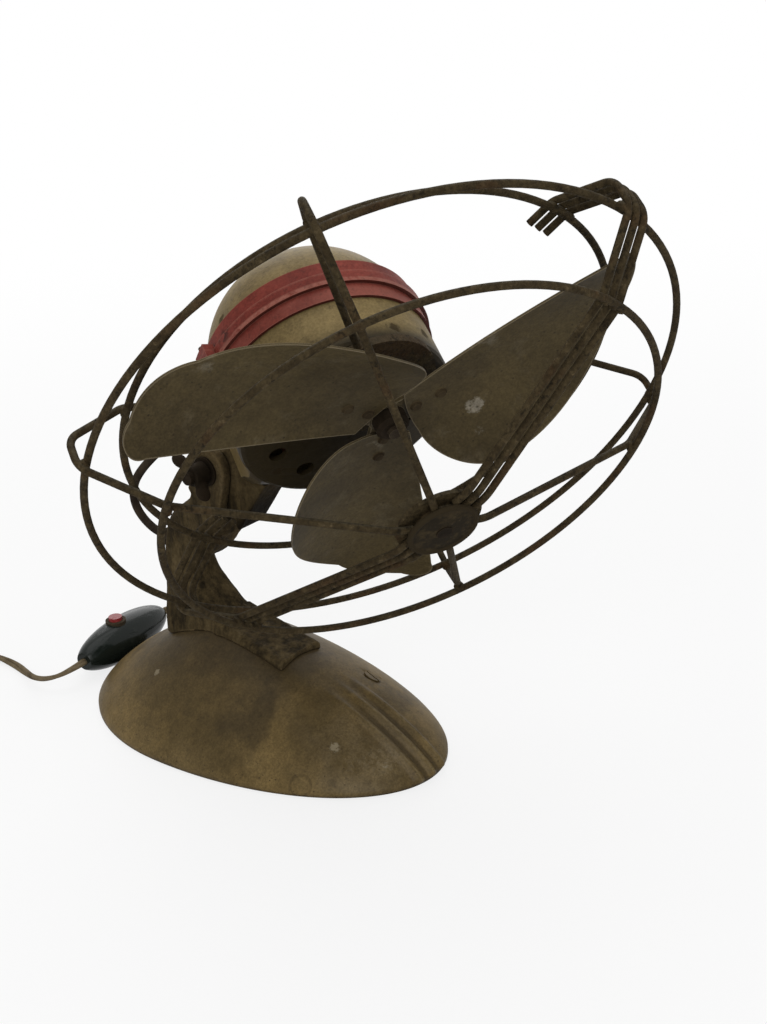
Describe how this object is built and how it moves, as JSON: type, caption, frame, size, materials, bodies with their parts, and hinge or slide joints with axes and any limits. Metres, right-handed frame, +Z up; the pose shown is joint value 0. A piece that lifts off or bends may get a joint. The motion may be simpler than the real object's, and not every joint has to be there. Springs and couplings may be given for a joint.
{
  "type": "desk fan",
  "caption": "Small old electric desk fan: drop-shaped base, bent neck, round motor, cupped blades in an open wire guard, tilting and swivelling head, corded switch and plug.",
  "frame": {"origin": "on the floor under the widest line of the base, at the middle of the felt sole", "axes": "+Z up, -Y towards the nose of the base, +X to the right seen from behind the nose; the tilt bolt is parallel to X"},
  "size_m": [0.2379, 0.4364, 0.2807],
  "materials": {
    "base_paint": "worn olive bronze enamel",
    "neck_paint": "worn brown bronze enamel",
    "felt": "felt",
    "plate_steel": "dull",
    "steel": "dulled",
    "dark_steel": "tarnished",
    "cream_paint": "aged cream enamel",
    "red_paint": "aged red enamel",
    "bearing_bronze": "plain",
    "core_iron": "laminated",
    "copper_wire": "varnished winding",
    "guard_wire": "rusted wire",
    "badge_enamel": "dark enamel, bare",
    "blade_paint": "worn bronze enamel",
    "lead_jacket": "aged rubber",
    "cord_jacket": "aged twin flex",
    "switch_shell": "gloss",
    "button_red": "gloss",
    "plug_shell": "gloss",
    "pin_brass": "plain"
  },
  "bodies": {
    "stand": {"base_shell": "base_paint", "base_felt": "felt", "base_bottom_plate": "plate_steel", "base_screws": "steel", "nose_plug": "dark_steel", "neck": "neck_paint", "neck_bolts": "steel", "neck_bushing": "lead_jacket", "tilt_bolt": "dark_steel", "tilt_washer": "dark_steel", "nut_washer": "dark_steel", "motor_lead": "lead_jacket", "cord_grommet": "lead_jacket", "switch_lower": "switch_shell", "switch_upper": "switch_shell", "switch_collar": "steel", "cord_inner": "cord_jacket", "cord_outer": "cord_jacket", "cord_coil": "cord_jacket", "cord_tie": "cord_jacket", "plug_tail": "cord_jacket", "plug_body": "plug_shell", "plug_pins": "pin_brass"},
    "tilt_block": {"hinge_block": "neck_paint", "swivel_pin": "steel"},
    "head": {"motor_front": "cream_paint", "motor_rear": "cream_paint", "motor_bushing": "lead_jacket", "centre_band": "red_paint", "band_screws": "steel", "front_bush": "bearing_bronze", "rear_bush": "bearing_bronze", "stator_core": "core_iron", "stator_coil": "copper_wire", "guard_mount": "guard_wire", "guard_mount_screws": "dark_steel", "guard_ring_front": "guard_wire", "guard_ring_middle": "guard_wire", "guard_ring_rear": "guard_wire", "guard_arm_left": "guard_wire", "guard_arm_right": "guard_wire", "guard_arm_top": "guard_wire", "guard_arm_bottom": "guard_wire", "guard_triple_high": "guard_wire", "guard_triple_low": "guard_wire", "badge_plate": "guard_wire", "badge_disc": "badge_enamel", "badge_rivet": "dark_steel"},
    "rotor": {"rotor_shaft": "steel", "rotor_core": "core_iron", "hub": "dark_steel", "hub_screw": "dark_steel", "spider": "blade_paint", "blade_1": "blade_paint", "blade_2": "blade_paint", "blade_3": "blade_paint", "blade_rivets": "dark_steel"},
    "nut": {"wing_nut": "dark_steel"},
    "button": {"switch_button": "button_red"}
  },
  "joints": [
    {"name": "tilt", "type": "hinge", "parent": "stand", "child": "tilt_block", "pos_m": [0, -0.00513, 0.13106], "axis": [1, 0, 0], "range_deg": [-66, 4], "deforming": ["motor_lead"]},
    {"name": "swivel", "type": "hinge", "parent": "tilt_block", "child": "head", "pos_m": [0, -0.01637, 0.12272], "axis": [0, -0.5958, 0.8031], "range_deg": [-37.6, 82.4], "deforming": ["motor_lead"]},
    {"name": "rotor_spin", "type": "hinge", "parent": "head", "child": "rotor", "pos_m": [0, -0.08051, 0.20918], "axis": [-0.3814, -0.7424, -0.5507], "continuous": true},
    {"name": "wing_nut_turn", "type": "hinge", "parent": "stand", "child": "nut", "pos_m": [-0.02, -0.00513, 0.13106], "axis": [1, 0, 0], "range_deg": [0, 270]},
    {"name": "switch_press", "type": "slide", "parent": "stand", "child": "button", "axis": [0, 0, -1], "range_m": [0, 0.002], "stiffness_N_per_m": 400, "springref_m": -0.001}
  ]
}
